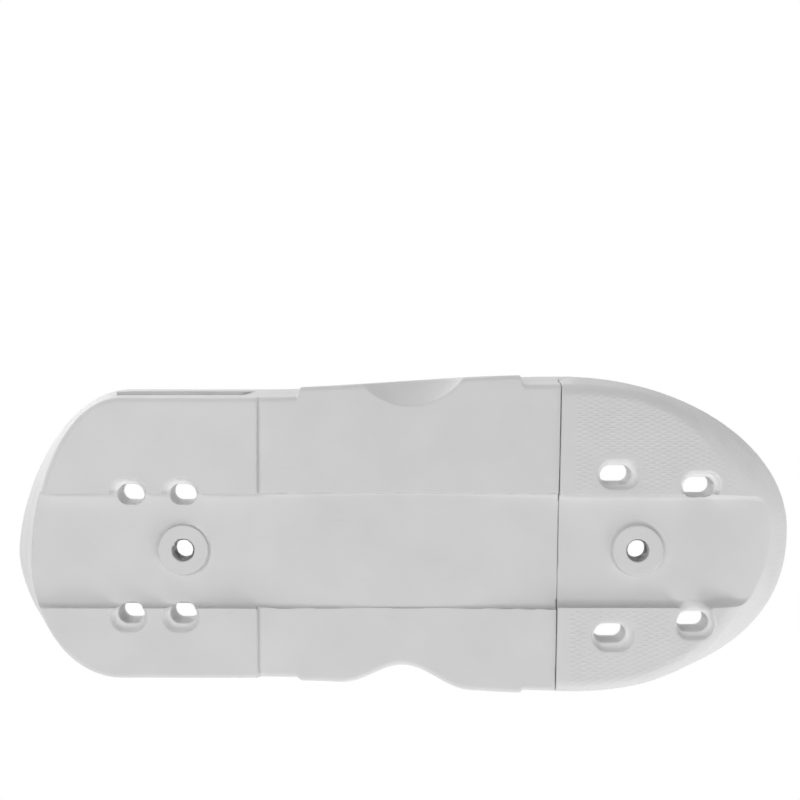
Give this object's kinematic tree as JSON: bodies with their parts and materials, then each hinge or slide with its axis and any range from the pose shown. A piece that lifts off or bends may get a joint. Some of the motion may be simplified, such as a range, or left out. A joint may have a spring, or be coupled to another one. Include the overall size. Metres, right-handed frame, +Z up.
{
  "type": "aggressive skate soul plate",
  "caption": "White moulded soul plate for a right aggressive skate boot: a tub-shaped heel and arch plate lapped to a knurled toe plate, with frame nuts, boot bolt slots and a grind groove.",
  "frame": {"origin": "midway between the two frame bolts, on the plane of the bosses that bear on the skate frame", "axes": "+X to the toe, +Y to the inner side of a right foot, -Y to the outer side, +Z up to the boot"},
  "size_m": [0.2926, 0.1203, 0.0379],
  "materials": {
    "main_plastic": "satin",
    "toe_plastic": "knurled satin",
    "nut_steel": "dark zinc",
    "screw_steel": "zinc",
    "insert_brass": "turned",
    "badge_plastic": "matt"
  },
  "bodies": {
    "root": {"main_plate": "main_plastic", "toe_plate": "toe_plastic", "rear_frame_nut": "nut_steel", "front_frame_nut": "nut_steel", "lap_screws": "screw_steel", "lap_inserts": "insert_brass", "side_badge": "badge_plastic"}
  },
  "joints": []
}
